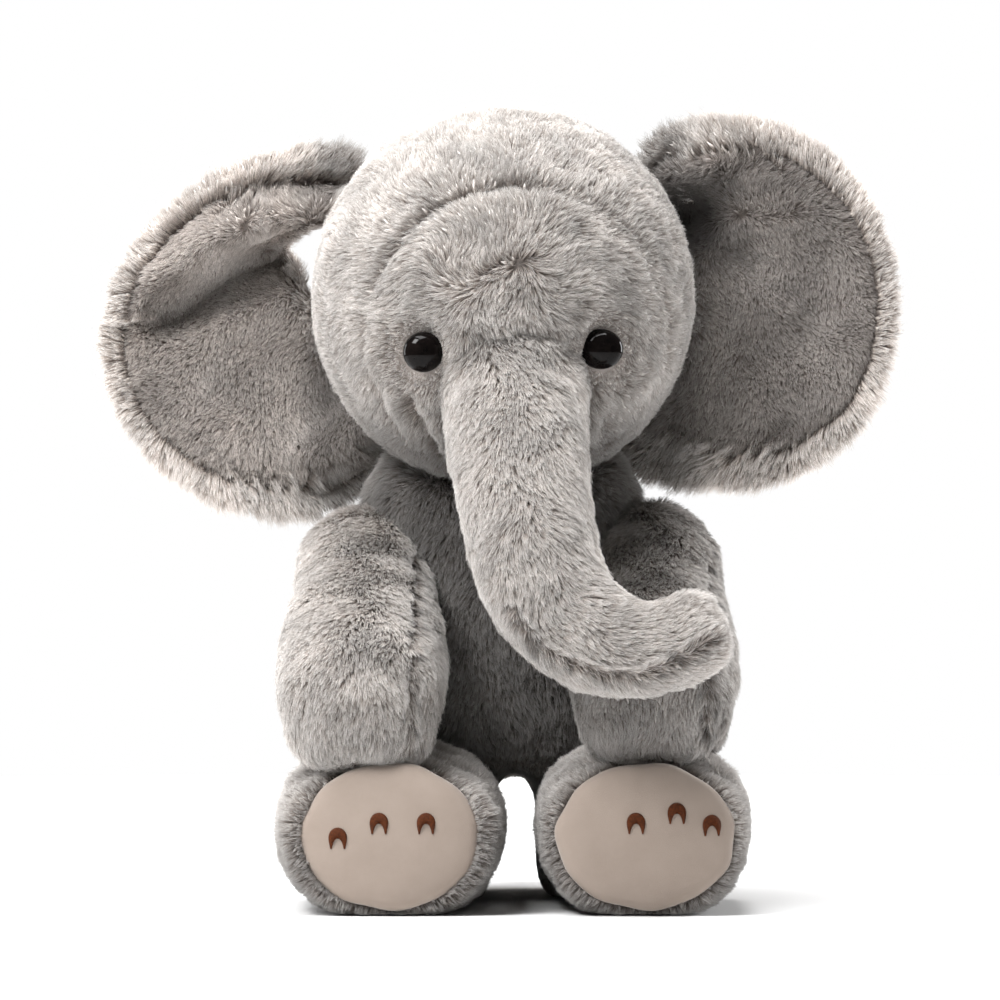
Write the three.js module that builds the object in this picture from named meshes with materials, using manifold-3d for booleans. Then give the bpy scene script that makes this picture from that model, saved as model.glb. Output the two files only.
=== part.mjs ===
// A sitting stuffed elephant, sewn from long-pile fabric over fibre stuffing.
// Millimetres, +Z up, the face and soles towards -Y. Every fabric panel, wad of
// stuffing, eye, washer, pad and toenail is a closed solid of its own.
import * as THREE from 'three';
import { mergeVertices } from 'three/addons/utils/BufferGeometryUtils.js';
import Module from 'manifold-3d';

const wasm = await Module();
wasm.setup();

// ---- driving dimensions ---------------------------------------------------

const SKIN = 2.6; // backing and root of the pile fabric
const GAP = 0.4; // clearance between neighbouring pieces
const SWING_GAP = 1.3; // clearance where one body turns against another

const HEAD = { centre: [0, -20, 212], radius: 65.5 };
const FACE_PANEL = { centre: [5, 198], radius: 50, back: -45 };
const NECK = { centre: [0, -4, 144], radius: 30, halfHeight: 21 };
const HEAD_NOD = 14; // degrees that the head can look up
const HEAD_TURN = 12; // degrees that it can turn each way

const TORSO = {
  profile: [
    [0, -3], [36, -4], [56, 10], [60, 34], [60, 60], [57, 88], [53, 112], [48, 132], [44, 149], [33, 160],
    [0, 166],
  ],
  depth: 0.82,
  baseY: 11,
  lean: -12,
  height: 140,
};
const GROOVE = { centreX: 4, halfWidth: 13, front: 52, back: 44 };
const POUCH = { centre: [4, 24, 66], radii: [34, 17, 15] };

const TRUNK = {
  root: [4, -68, 180],
  rootRadius: 24.5,
  line: [
    [4, -68, 180], [5, -84, 162], [7, -95, 145], [9.5, -103, 129], [14, -110, 114],
    [22, -116, 102], [33, -120, 94.5], [45, -122, 91.5], [57, -123, 93], [68, -123, 98],
  ],
  radii: [23, 22.5, 21, 20.5, 19.5, 18, 16.5, 14.5, 13.5, 13],
  tip: 6, // how far the round end runs past the last point
};

const ARM_PROFILE = { shoulder: 22.5, hand: 27.3, depth: 0.82 };
const ARMS = {
  left: { shoulder: [-48, -15, 118], hand: [-49, -88, 76] },
  right: { shoulder: [52, -15, 119], hand: [52, -79, 76] },
};

const LEG_HEIGHT = 28.5;
const LEG_SINK = 1.5; // how far the round underside is pressed flat
const LEG_FRONT = -106;
const LEG_BOXINESS = { top: 3, bottom: 2.15 }; // 2 would be a plain ellipse
const LEGS = {
  left: { hip: [-39, -36], radius: 36 },
  right: { hip: [48.5, -36], radius: 34 },
};
const PAD = { halfWidth: 31, halfHeight: 25.5, bulge: 5, tilt: 9, centreZ: 26.5, hem: 7 };
const NAIL = { width: 6.6, height: 8.2, thread: 1.9, proud: 0.9, clear: 0.2 };
const NAILS = {
  left: [[-17.5, -1], [-3.4, 4], [12.7, 4]],
  right: [[-3, 4], [11, 7.5], [23, 3.5]],
};

const EYE = { halfWidth: 6.2, halfHeight: 7.2, dome: 5.2, shank: 2.1, reach: 13 };
const WASHER = { radius: 6.6, hole: 2.6, thickness: 1.6, depth: 5 };
const EYES = { left: [-28, 193], right: [35, 194] };

const EAR_THICKNESS = 8;
const LINING = { share: 0.84, thickness: 3, clear: 1 };
const EARS = {
  left: {
    centre: [-98.5, 199],
    outline: [
      [-50, 261], [-73, 264.5], [-104.5, 252.5], [-129, 230.5], [-141, 200], [-134, 170],
      [-113.5, 147], [-85.5, 135.5], [-60, 138], [-47, 155], [-62, 178], [-73, 214], [-62, 241],
    ],
  },
  right: {
    centre: [99, 210],
    outline: [
      [51, 265], [75, 275.5], [101, 270.5], [123.5, 252.5], [136.5, 226], [138, 198.5],
      [127.5, 169], [105, 151], [78, 145], [51, 152], [60, 177], [70.5, 211], [62, 247],
    ],
  },
};
const EAR_ROOT_Y = 8; // depth of the ear's inner edge behind the head's middle
const EAR_CUP = 12; // how far the middle of the ear lies behind its rim
const EAR_RIM_Y = -2;

const TAIL = { root: [4, 58, 92], end: [4, 78, 53], radius: 5.5, tuft: 8.5 };

// ---- materials -------------------------------------------------------------

const finish = (color, roughness) => new THREE.MeshStandardMaterial({ color, roughness, metalness: 0 });
const looks = {
  pile: () => finish(0xa39a96, 0.95),
  lining: () => finish(0x857b77, 0.95),
  fill: () => finish(0xefece4, 1),
  pad: () => finish(0xbfb0a2, 0.7),
  thread: () => finish(0x5a2f1a, 0.6),
  eye: () => finish(0x0b0908, 0.08),
  washer: () => finish(0xe8e8e4, 0.45),
  pouch: () => finish(0xd8d2c4, 0.9),
};

// ---- solids ----------------------------------------------------------------

const EPS = 1e-4;

/** Signed volume of an indexed triangle list, positive when its faces point out. */
function signedVolume(position, index) {
  const [a, b, c] = [new THREE.Vector3(), new THREE.Vector3(), new THREE.Vector3()];
  let sum = 0;
  for (let i = 0; i < index.length; i += 3) {
    a.fromBufferAttribute(position, index[i]);
    b.fromBufferAttribute(position, index[i + 1]);
    c.fromBufferAttribute(position, index[i + 2]);
    sum += a.dot(b.cross(c));
  }
  return sum;
}

/** A closed geometry as a solid, with its faces turned outwards. */
function solidOf(geometry) {
  const bare = geometry.clone();
  bare.deleteAttribute('normal');
  bare.deleteAttribute('uv');
  const merged = mergeVertices(bare, EPS);
  const index = [];
  for (let i = 0; i < merged.index.count; i += 3) {
    const corners = [0, 1, 2].map((k) => merged.index.getX(i + k));
    if (new Set(corners).size === 3) index.push(...corners);
  }
  if (signedVolume(merged.attributes.position, index) < 0) index.reverse();
  return new wasm.Manifold(new wasm.Mesh({
    numProp: 3,
    vertProperties: new Float32Array(merged.attributes.position.array),
    triVerts: new Uint32Array(index),
  }));
}

/** A solid as a geometry that a mesh can show. */
function geometryOf(solid) {
  const mesh = solid.getMesh();
  const geometry = new THREE.BufferGeometry();
  geometry.setAttribute('position', new THREE.BufferAttribute(new Float32Array(mesh.vertProperties), 3));
  geometry.setIndex(new THREE.BufferAttribute(new Uint32Array(mesh.triVerts), 1));
  geometry.computeVertexNormals();
  return geometry;
}

/** Moves every vertex of a geometry by a rule that is given the vertex and changes it. */
function reshape(geometry, rule) {
  const position = geometry.attributes.position;
  const point = new THREE.Vector3();
  for (let i = 0; i < position.count; i += 1) {
    point.fromBufferAttribute(position, i);
    rule(point);
    position.setXYZ(i, point.x, point.y, point.z);
  }
  return geometry;
}

const vector = (p) => new THREE.Vector3(...p);

/** The count for an outer surface, or the lower one for what lies inside it. */
const sides = (inset, outer, inner) => (inset > 0 ? inner : outer);

/** An ellipsoid with its poles up and down. */
function ellipsoid(centre, radii, around = 16, down = 10) {
  const geometry = new THREE.SphereGeometry(1, around, down).rotateX(Math.PI / 2);
  return solidOf(geometry.scale(...radii).translate(...centre));
}

const ball = (centre, radius, around, down) => ellipsoid(centre, [radius, radius, radius], around, down);

function block(low, high) {
  const size = vector(high).sub(vector(low));
  const middle = vector(low).add(vector(high)).multiplyScalar(0.5);
  return solidOf(new THREE.BoxGeometry(size.x, size.y, size.z).translate(middle.x, middle.y, middle.z));
}

/** Points along a smooth lathe profile of [radius, height], moved inwards by inset. */
function profilePoints(controls, inset, steps) {
  const curve = new THREE.SplineCurve(controls.map(([r, s]) => new THREE.Vector2(r, s)));
  const points = [];
  for (let i = 0; i <= steps; i += 1) {
    const p = curve.getPointAt(i / steps);
    const t = curve.getTangentAt(i / steps);
    points.push(new THREE.Vector2(Math.max(p.x - inset * t.y, 0), p.y + inset * t.x));
  }
  points[0].set(0, controls[0][1] + inset);
  points[steps].set(0, controls.at(-1)[1] - inset);
  return points;
}

/** Turns a geometry built along +Y so that it runs from one point towards another. */
function along(geometry, from, to, side = [1, 0, 0]) {
  const up = vector(to).sub(vector(from)).normalize();
  const across = vector(side).addScaledVector(up, -up.dot(vector(side))).normalize();
  const third = across.clone().cross(up);
  const basis = new THREE.Matrix4().makeBasis(across, up, third).setPosition(vector(from));
  return geometry.applyMatrix4(basis);
}

/** A round bar from one point to another. */
function bar(from, to, radius, facets = 12) {
  const length = vector(from).distanceTo(vector(to));
  const geometry = new THREE.CylinderGeometry(radius, radius, length, facets).translate(0, length / 2, 0);
  return solidOf(along(geometry, from, to));
}

/** The largest separate body of a solid, without the crumbs that cuts can leave. */
function largest(solid) {
  const bodies = solid.decompose();
  return bodies.reduce((best, body) => (body.volume() > best.volume() ? body : best));
}

/** A fabric skin: the form with the same form, one skin smaller, taken out of it. */
const skinOf = (form) => form(0).subtract(form(SKIN));

/** The stuffing that fills a skin. */
const fillOf = (form) => form(SKIN + GAP);

// ---- forms, each as a function of how far it is shrunk (negative: grown) ------

/** The trunk: a tapering tube along its centreline, with a ball where it turns in the face. */
function trunkForm(inset) {
  const rings = sides(inset, 14, 9);
  const line = new THREE.CatmullRomCurve3(TRUNK.line.map(vector));
  const radii = new THREE.SplineCurve(TRUNK.radii.map((r, i) => new THREE.Vector2(i, r)));
  const radiusAt = (u) => radii.getPoint(u).y - inset;
  const profile = [new THREE.Vector2(0, 0)];
  for (let i = 0; i <= rings; i += 1) profile.push(new THREE.Vector2(1, i / rings));
  profile.push(new THREE.Vector2(0.72, 1.7));
  profile.push(new THREE.Vector2(0, 2));
  const geometry = new THREE.LatheGeometry(profile, sides(inset, 14, 10));
  reshape(geometry, (p) => {
    const u = Math.min(p.y, 1);
    const past = Math.max(p.y - 1, 0) * (TRUNK.tip - inset);
    const centre = line.getPoint(u);
    const ahead = line.getTangent(u);
    const across = new THREE.Vector3(0, -1, 0).addScaledVector(ahead, ahead.y).normalize();
    const third = ahead.clone().cross(across);
    const radius = radiusAt(u);
    const offset = across.multiplyScalar(p.x * radius).add(third.multiplyScalar(p.z * radius));
    p.copy(centre).add(offset).addScaledVector(ahead, past);
  });
  const root = ball(TRUNK.root, TRUNK.rootRadius - inset, sides(inset, 16, 12), sides(inset, 10, 8));
  return solidOf(geometry).add(root);
}

/** An arm: a tube that widens from a round shoulder to a rounder hand. */
function armForm({ shoulder, hand }, inset) {
  const { shoulder: small, hand: large, depth } = ARM_PROFILE;
  const length = vector(shoulder).distanceTo(vector(hand));
  const controls = [
    [0, -small], [small * 0.72, -small * 0.7], [small, 0], [large * 0.86, length * 0.33],
    [large, length * 0.72], [large * 0.96, length + 4],
    [large * 0.66, length + large * 0.62], [0, length + large * 0.84],
  ];
  const steps = sides(inset, 10, 7);
  const geometry = new THREE.LatheGeometry(profilePoints(controls, inset, steps), sides(inset, 18, 12));
  reshape(geometry, (p) => {
    p.z *= depth;
  });
  return solidOf(along(geometry, shoulder, hand));
}

/** How high the leg's top is, as a share of its full height, at a depth y. */
function legTop(y) {
  const slope = THREE.MathUtils.smoothstep(-y, 52, -LEG_FRONT + 6);
  return 1 - 0.34 * slope;
}

/** Scales a leg's round section towards a rounded box, from the hip forwards. */
function boxed({ x, y, z }) {
  const out = Math.hypot(x, z);
  const forward = THREE.MathUtils.smoothstep(y, 0.14, 0.45);
  if (out < EPS) return new THREE.Vector3(1, 1, 1);
  const power = z > 0 ? LEG_BOXINESS.top : LEG_BOXINESS.bottom;
  const corner = Math.abs(x / out) ** power + Math.abs(z / out) ** power;
  const scale = THREE.MathUtils.lerp(1, corner ** (-1 / power), forward);
  return new THREE.Vector3(scale, 1, scale);
}

/** A leg: round behind, so that it can turn in the hip, and flat at the sole. */
function legForm({ hip, radius }, inset) {
  const [hipX, hipY] = hip;
  const reach = hipY - LEG_FRONT;
  const profile = [];
  const rearRings = sides(inset, 5, 4);
  for (let i = 0; i <= rearRings; i += 1) {
    const a = (i / rearRings) * (Math.PI / 2);
    profile.push(new THREE.Vector2(Math.sin(a), -Math.cos(a)));
  }
  const front = [[1, 0.3], [1, 0.62], [0.97, 0.86], [0.88, 0.97], [0.7, 1], [0, 1]];
  front.forEach(([r, s]) => profile.push(new THREE.Vector2(r, s)));
  const geometry = new THREE.LatheGeometry(profile, sides(inset, 20, 14));
  reshape(geometry, (p) => {
    const y = hipY - (p.y <= 0 ? p.y * (radius - inset) : p.y * (reach - inset));
    const lift = p.z > 0 ? legTop(y) : 1;
    p.multiply(boxed(p));
    const z = LEG_HEIGHT - LEG_SINK + p.z * (LEG_HEIGHT * lift - inset);
    p.set(hipX + p.x * (radius - inset), y, Math.max(z, inset));
  });
  return solidOf(geometry);
}

/** How high the channel under the body is at a depth y. */
const grooveHeight = (y) => THREE.MathUtils.mapLinear(y, -40, 56, GROOVE.front, GROOVE.back);

/** The arched channel under the body, between the two halves of the seat. */
function grooveForm(inset) {
  const { centreX, halfWidth } = GROOVE;
  const grown = halfWidth - inset;
  const arch = new THREE.Shape();
  arch.moveTo(-grown, -1);
  arch.lineTo(grown, -1);
  arch.absarc(0, 0, grown, 0, Math.PI, false);
  const settings = { depth: 1, steps: 1, bevelEnabled: false, curveSegments: 4 };
  const geometry = new THREE.ExtrudeGeometry(arch, settings);
  reshape(geometry, (p) => {
    const y = THREE.MathUtils.mapLinear(p.z, 0, 1, -80, 80);
    const top = grooveHeight(y) - halfWidth;
    const z = p.y < 0 ? -20 : top + p.y;
    p.set(centreX + p.x, y, z);
  });
  return solidOf(geometry);
}

/** The body: an egg with a flat seat, hollowed where the legs and arms press into it. */
function torsoForm(inset) {
  const profile = profilePoints(TORSO.profile, inset, sides(inset, 13, 9));
  const geometry = new THREE.LatheGeometry(profile, sides(inset, 22, 16)).rotateX(Math.PI / 2);
  reshape(geometry, (p) => {
    p.y = p.y * TORSO.depth + TORSO.baseY + TORSO.lean * (p.z / TORSO.height);
    p.z = Math.max(p.z, inset);
  });
  const hips = [hipRoom(LEGS.left, inset), hipRoom(LEGS.right, inset)];
  const limbs = [...hips, armRoom(ARMS.left, inset), armRoom(ARMS.right, inset)];
  const whole = solidOf(geometry).subtract(grooveForm(inset));
  const rooms = [...limbs, ...headRooms(inset)];
  return largest(rooms.reduce((rest, room) => rest.subtract(room), whole));
}

/** The space over the shoulders that the head needs, at rest, looking up and turned. */
function headRooms(inset) {
  const neck = vector(NECK.centre);
  const ahead = vector(HEAD.centre).sub(neck);
  const turned = (axis, degrees) =>
    ahead.clone().applyAxisAngle(vector(axis), THREE.MathUtils.degToRad(degrees)).add(neck);
  const places = [
    turned([0, 0, 1], 0), turned([-1, 0, 0], HEAD_NOD),
    turned([0, 0, 1], HEAD_TURN), turned([0, 0, 1], -HEAD_TURN),
  ];
  const radius = HEAD.radius + SWING_GAP + inset;
  return places.map((place) => ball(place.toArray(), radius, 24, 16));
}

const neckSocket = () => ball(NECK.centre, NECK.radius + SWING_GAP, 18, 12);

/** The hollow in the torso that a leg's round rear end turns in. */
function hipRoom({ hip, radius }, inset) {
  const grow = SWING_GAP + inset;
  const centre = [...hip, LEG_HEIGHT - LEG_SINK];
  return ellipsoid(centre, [radius + grow, radius + grow, LEG_HEIGHT + grow], 20, 10);
}

/** The hollow that an arm presses into the torso. */
const armRoom = (arm, inset) => armForm(arm, -(SWING_GAP + inset));

function headForm(inset) {
  return ball(HEAD.centre, HEAD.radius - inset, sides(inset, 24, 16), sides(inset, 16, 10));
}

/** The hollow in the face that the trunk's round root turns in. */
const trunkRoom = () => ball(TRUNK.root, TRUNK.rootRadius + SWING_GAP, 18, 12);

/**
 * An ear as a cupped lens that fills its outline. A share below 1 gives the lining: a thin
 * layer over the middle of the lens's front. Grow thickens the lens on both faces.
 */
function earForm({ centre, outline }, share, grow) {
  const rim = new THREE.CatmullRomCurve3(outline.map(([x, z]) => new THREE.Vector3(x, 0, z)), true);
  const geometry = new THREE.SphereGeometry(1, 26, 7).rotateX(Math.PI / 2);
  reshape(geometry, (p) => {
    const turn = THREE.MathUtils.euclideanModulo(Math.atan2(p.y, p.x) / (2 * Math.PI), 1);
    const edge = rim.getPoint(turn);
    const out = Math.hypot(p.x, p.y) * share;
    const x = centre[0] + (edge.x - centre[0]) * out;
    const z = centre[1] + (edge.z - centre[1]) * out;
    const near = THREE.MathUtils.smoothstep(Math.abs(x), 60, 100);
    const middleY = THREE.MathUtils.lerp(EAR_ROOT_Y, EAR_RIM_Y, near) + EAR_CUP * (1 - out ** 2);
    const half = grow + (EAR_THICKNESS / 2) * Math.sqrt(Math.max(1 - out ** 2, 0));
    const layer = p.z < 0 ? LINING.thickness * -p.z : 0;
    p.set(x, share < 1 ? middleY - half - LINING.clear - layer : middleY + half * Math.sign(p.z), z);
  });
  return solidOf(geometry);
}

// ---- pieces -----------------------------------------------------------------

const elephant = new THREE.Group();

function add(name, solid, material) {
  const mesh = new THREE.Mesh(geometryOf(solid), material);
  mesh.name = name;
  elephant.add(mesh);
}

/** The outward direction and surface point of the head in front of an eye. */
function eyeSeat([x, z]) {
  const [cx, cy, cz] = HEAD.centre;
  const y = cy - Math.sqrt(HEAD.radius ** 2 - (x - cx) ** 2 - (z - cz) ** 2);
  const point = new THREE.Vector3(x, y, z);
  return { point, out: point.clone().sub(vector(HEAD.centre)).normalize() };
}

const outFrom = ({ point, out }, distance) => point.clone().addScaledVector(out, distance).toArray();

function buildEyes() {
  const rooms = [];
  const holes = [];
  for (const side of ['left', 'right']) {
    const seat = eyeSeat(EYES[side]);
    const dome = [[0, 0], [0.94, 0], [1, 0.1], [0.86, 0.5], [0.55, 0.85], [0, 1]];
    const points = dome.map(([r, s]) => new THREE.Vector2(r * EYE.halfHeight, s * EYE.dome));
    const cap = new THREE.LatheGeometry(points, 20).scale(EYE.halfWidth / EYE.halfHeight, 1, 1);
    const front = solidOf(along(cap, outFrom(seat, 1), outFrom(seat, 5)));
    const shank = bar(outFrom(seat, -EYE.reach), outFrom(seat, 1.5), EYE.shank, 10);
    add(`eye_${side}`, front.add(shank), looks.eye());
    const inner = WASHER.depth;
    const disc = bar(outFrom(seat, -inner - WASHER.thickness), outFrom(seat, -inner), WASHER.radius);
    const bore = bar(outFrom(seat, -EYE.reach), outFrom(seat, 2), WASHER.hole);
    add(`eye_washer_${side}`, disc.subtract(bore), looks.washer());
    holes.push(bore);
    const floor = outFrom(seat, -inner - WASHER.thickness - GAP);
    rooms.push(bar(floor, outFrom(seat, 0), WASHER.radius + GAP));
    rooms.push(bar(outFrom(seat, -EYE.reach - GAP), outFrom(seat, 0), WASHER.hole));
  }
  return { rooms: rooms.reduce((a, b) => a.add(b)), holes: holes.reduce((a, b) => a.add(b)) };
}

function buildHead() {
  const { rooms, holes } = buildEyes();
  const trunk = trunkRoom();
  const socket = neckSocket();
  const shell = skinOf(headForm).subtract(socket).subtract(trunk).subtract(holes);
  const [px, pz] = FACE_PANEL.centre;
  const inFace = bar([px, FACE_PANEL.back, pz], [px, -120, pz], FACE_PANEL.radius, 24);
  const aroundFace = bar([px, FACE_PANEL.back + GAP, pz], [px, -120, pz], FACE_PANEL.radius + GAP, 24);
  add('face_panel', shell.intersect(inFace), looks.pile());
  add('head_skin', shell.subtract(aroundFace), looks.pile());
  add('head_stuffing', fillOf(headForm).subtract(socket).subtract(trunk).subtract(rooms), looks.fill());
  const [x, y, z] = NECK.centre;
  const { radius, halfHeight } = NECK;
  const low = [x - radius, y - radius, z - halfHeight];
  const slab = block(low, [x + radius, y + radius, z + halfHeight]);
  add('neck_stuffing', ball(NECK.centre, NECK.radius, 18, 12).intersect(slab), looks.fill());
}

function buildTrunk() {
  const [x, y, z] = TRUNK.root;
  const mouth = bar([x, y + 40, z], [x, y + 2, z], 17);
  add('trunk_skin', skinOf(trunkForm).subtract(mouth), looks.pile());
  add('trunk_stuffing', fillOf(trunkForm), looks.fill());
}

function buildEar(side) {
  const room = earForm(EARS[side], 1, GAP);
  add(`ear_${side}_back`, earForm(EARS[side], 1, 0), looks.pile());
  add(`ear_${side}_lining`, largest(earForm(EARS[side], LINING.share, 0).subtract(room)), looks.lining());
}

function buildTorso() {
  const pouch = ellipsoid(POUCH.centre, POUCH.radii);
  const pouchRoom = ellipsoid(POUCH.centre, POUCH.radii.map((r) => r + GAP));
  const [x, y] = POUCH.centre;
  const pouchMouth = bar(POUCH.centre, [x, y, TORSO.height + 20], 6, 8);
  add('torso_skin', skinOf(torsoForm).subtract(neckSocket()), looks.pile());
  const stuffing = fillOf(torsoForm).subtract(neckSocket()).subtract(pouchRoom).subtract(pouchMouth);
  add('torso_stuffing', stuffing, looks.fill());
  add('pellet_pouch', pouch, looks.pouch());
}

function buildArm(side) {
  const arm = ARMS[side];
  const form = (inset) => armForm(arm, inset);
  const [x, y, z] = arm.shoulder;
  const seam = bar([x, y + 40, z + 24], arm.shoulder, 6, 8);
  add(`arm_${side}_skin`, skinOf(form).subtract(seam), looks.pile());
  add(`arm_${side}_stuffing`, fillOf(form), looks.fill());
}

/** A thread arch, open at the bottom, that tapers to two points. */
function nailShape() {
  const { width, height, thread } = NAIL;
  const half = width / 2;
  const inner = half - thread;
  const crown = height - half;
  const arch = new THREE.Shape();
  arch.moveTo(-half * 0.9, 0);
  arch.lineTo(-half, crown);
  arch.absarc(0, crown, half, Math.PI, 0, true);
  arch.lineTo(half * 0.9, 0);
  arch.lineTo(inner, crown * 0.8);
  arch.absarc(0, crown * 0.8, inner, 0, Math.PI, false);
  arch.closePath();
  return arch;
}

/** How far the pad stands out of the sole's plane at a point. */
function padBulge(x, z) {
  const inside = 1 - (x / PAD.halfWidth) ** 2 - (z / PAD.halfHeight) ** 2;
  return PAD.bulge * Math.sqrt(Math.max(inside, 0));
}

/** Carries a geometry from the sole's plane, +Z forwards and +Y up, to its leg. */
function onSole(geometry, hipX) {
  const tilt = THREE.MathUtils.degToRad(90 - PAD.tilt);
  return geometry.rotateX(tilt).translate(hipX, LEG_FRONT - GAP, PAD.centreZ);
}

/** A toenail's thread, raised from the pad's curved face, in the sole's plane. */
function nailForm([x, z]) {
  const settings = { depth: 1, bevelEnabled: false, curveSegments: 4 };
  return reshape(new THREE.ExtrudeGeometry(nailShape(), settings), (p) => {
    const across = p.x + x;
    const up = p.y - NAIL.height / 2 + z;
    p.set(across, up, padBulge(across, up) + NAIL.clear + p.z * NAIL.proud);
  });
}

function buildLeg(side) {
  const leg = LEGS[side];
  const [hipX] = leg.hip;
  const form = (inset) => legForm(leg, inset);
  const lens = new THREE.SphereGeometry(1, 24, 8).rotateX(Math.PI / 2);
  const pad = solidOf(onSole(lens.scale(PAD.halfWidth, PAD.halfHeight, PAD.bulge), hipX));
  const half = 60;
  const slab = () => new THREE.BoxGeometry(2 * half, 2 * half, half);
  const behind = solidOf(onSole(slab().translate(0, 0, GAP - half / 2), hipX));
  const ahead = solidOf(onSole(slab().translate(0, 0, half / 2), hipX));
  const oval = new THREE.CylinderGeometry(1, 1, 12, 24).rotateX(Math.PI / 2);
  const mouth = solidOf(onSole(oval.scale(PAD.halfWidth - PAD.hem, PAD.halfHeight - PAD.hem, 1), hipX));
  add(`leg_${side}_skin`, skinOf(form).subtract(ahead).subtract(mouth), looks.pile());
  add(`leg_${side}_stuffing`, fillOf(form).subtract(ahead), looks.fill());
  add(`sole_pad_${side}`, pad.subtract(behind), looks.pad());
  NAILS[side].forEach((place, i) => {
    add(`toenail_${side}_${'abc'[i]}`, solidOf(onSole(nailForm(place), hipX)), looks.thread());
  });
}

function buildTail() {
  const length = vector(TAIL.root).distanceTo(vector(TAIL.end));
  const { radius, tuft } = TAIL;
  const controls = [
    [0, -4], [radius, 0], [radius * 0.9, length * 0.5], [radius * 0.8, length * 0.66],
    [tuft, length * 0.84], [tuft * 0.6, length * 0.96], [0, length],
  ];
  const geometry = new THREE.LatheGeometry(profilePoints(controls, 0, 12), 12);
  const form = solidOf(along(geometry, TAIL.root, TAIL.end));
  add('tail', form.subtract(torsoForm(-GAP)), looks.pile());
}

buildTorso();
buildHead();
buildTrunk();
for (const side of ['left', 'right']) {
  buildEar(side);
  buildArm(side);
  buildLeg(side);
}
buildTail();

// The origin is the middle of the whole toy's box, on the floor it sits on.
const bounds = new THREE.Box3().setFromObject(elephant);
const middle = bounds.getCenter(new THREE.Vector3());
elephant.position.set(-middle.x, -middle.y, -bounds.min.z);

export default elephant;
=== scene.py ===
import math

import bmesh
import bpy
import numpy as np
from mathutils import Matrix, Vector
from mathutils.bvhtree import BVHTree
from mathutils.kdtree import KDTree


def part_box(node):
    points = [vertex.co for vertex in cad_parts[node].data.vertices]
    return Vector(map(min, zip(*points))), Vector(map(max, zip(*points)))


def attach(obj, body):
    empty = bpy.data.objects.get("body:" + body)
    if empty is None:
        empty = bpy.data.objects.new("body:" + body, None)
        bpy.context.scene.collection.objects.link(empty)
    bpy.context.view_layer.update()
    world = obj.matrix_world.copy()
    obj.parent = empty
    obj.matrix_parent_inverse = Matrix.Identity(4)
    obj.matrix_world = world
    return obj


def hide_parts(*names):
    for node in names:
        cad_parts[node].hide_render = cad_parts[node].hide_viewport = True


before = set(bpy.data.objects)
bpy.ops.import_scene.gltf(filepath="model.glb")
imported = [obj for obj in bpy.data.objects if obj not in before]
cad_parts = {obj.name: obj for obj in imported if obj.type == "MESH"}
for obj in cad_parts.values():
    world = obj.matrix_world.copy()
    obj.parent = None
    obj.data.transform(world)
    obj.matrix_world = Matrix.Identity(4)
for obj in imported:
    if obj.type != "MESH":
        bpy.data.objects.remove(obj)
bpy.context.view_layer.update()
scene = bpy.context.scene
SIDES = ("left", "right")
MM = 0.001
SEED = 20
FAR = 99  # a distance in mm that is out of reach of every seam and crease
FLOOR_GAP = 0.3 * MM

# ---------------------------------------------------------------- the toy's own origin
HEAD_CENTRE = np.array([0.0, -20.0, 212.0])  # mm from the toy's own origin, on the floor under the body
head_low, head_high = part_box("head_skin")
HEAD_R = (head_high.x - head_low.x) / 2
HEAD = np.array([(head_low.x + head_high.x) / 2, head_high.y - HEAD_R, head_high.z - HEAD_R])
ORIGIN = HEAD - HEAD_CENTRE * MM


def P(*xyz):
    """A point given in millimetres from the toy's own origin, or an array of such points."""
    p = np.array(xyz if len(xyz) == 3 else xyz[0], float)
    return ORIGIN + p * MM


def local(p):
    """Points of the frame in millimetres from the toy's own origin."""
    return (p - ORIGIN) / MM


def ramp(x, low, high):
    """0 below low, 1 above high, smooth in between."""
    t = np.clip((x - low) / (high - low), 0, 1)
    return t * t * (3 - 2 * t)


def bump(x, width):
    """1 at 0, falling smoothly to 0 at width."""
    return 1 - ramp(np.abs(x), 0, width)


def waves(p, size, seed, count=10):
    """Smooth noise between about -1 and 1 at points p (mm), with features of about size mm."""
    rng = np.random.default_rng(seed)
    k = rng.normal(size=(count, 3))
    k /= np.linalg.norm(k, axis=1)[:, None]
    k *= 2 * math.pi / (size * rng.uniform(0.7, 1.5, (count, 1)))
    return np.sin(p @ k.T + rng.uniform(0, 6.28, count)).sum(1) / math.sqrt(count)


def to_line(p, line):
    """Distance from points p to a polyline, both of any dimension, and the share of its length."""
    line = np.array(line, float)
    best, share = np.full(len(p), 1e9), np.zeros(len(p))
    lengths = np.linalg.norm(np.diff(line, axis=0), axis=1)
    total, done = lengths.sum(), 0.0
    for a, b, l in zip(line[:-1], line[1:], lengths):
        t = np.clip((p - a) @ (b - a) / l**2, 0, 1)
        d = np.linalg.norm(p - (a + t[:, None] * (b - a)), axis=1)
        near = d < best
        best[near] = d[near]
        share[near] = (done + t[near] * l) / total
        done += l
    return best, share


# ---------------------------------------------------------------- materials
def material(name, rough=0.8, specular=0.3, sheen=0.0):
    """A new material with its nodes, links and shader."""
    m = bpy.data.materials.new(name)
    m.use_nodes = True
    shader = m.node_tree.nodes["Principled BSDF"]
    shader.inputs["Roughness"].default_value = rough
    shader.inputs["Specular IOR Level"].default_value = specular
    shader.inputs["Sheen Weight"].default_value = sheen
    return m, m.node_tree.nodes, m.node_tree.links, shader


def node(nodes, kind, **values):
    """A new shader node, with its sockets or settings given by name."""
    n = nodes.new("ShaderNode" + kind)
    for key, value in values.items():
        if key in n.inputs:
            n.inputs[key].default_value = value
        else:
            setattr(n, key, value)
    return n


def colours(nodes, stops):
    """A colour ramp through (position, colour) stops."""
    n = nodes.new("ShaderNodeValToRGB")
    e = n.color_ramp.elements
    while len(e) < len(stops):
        e.new(0.5)
    for item, (at, colour) in zip(e, stops):
        item.position = at
        item.color = (*colour, 1)
    return n


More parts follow.
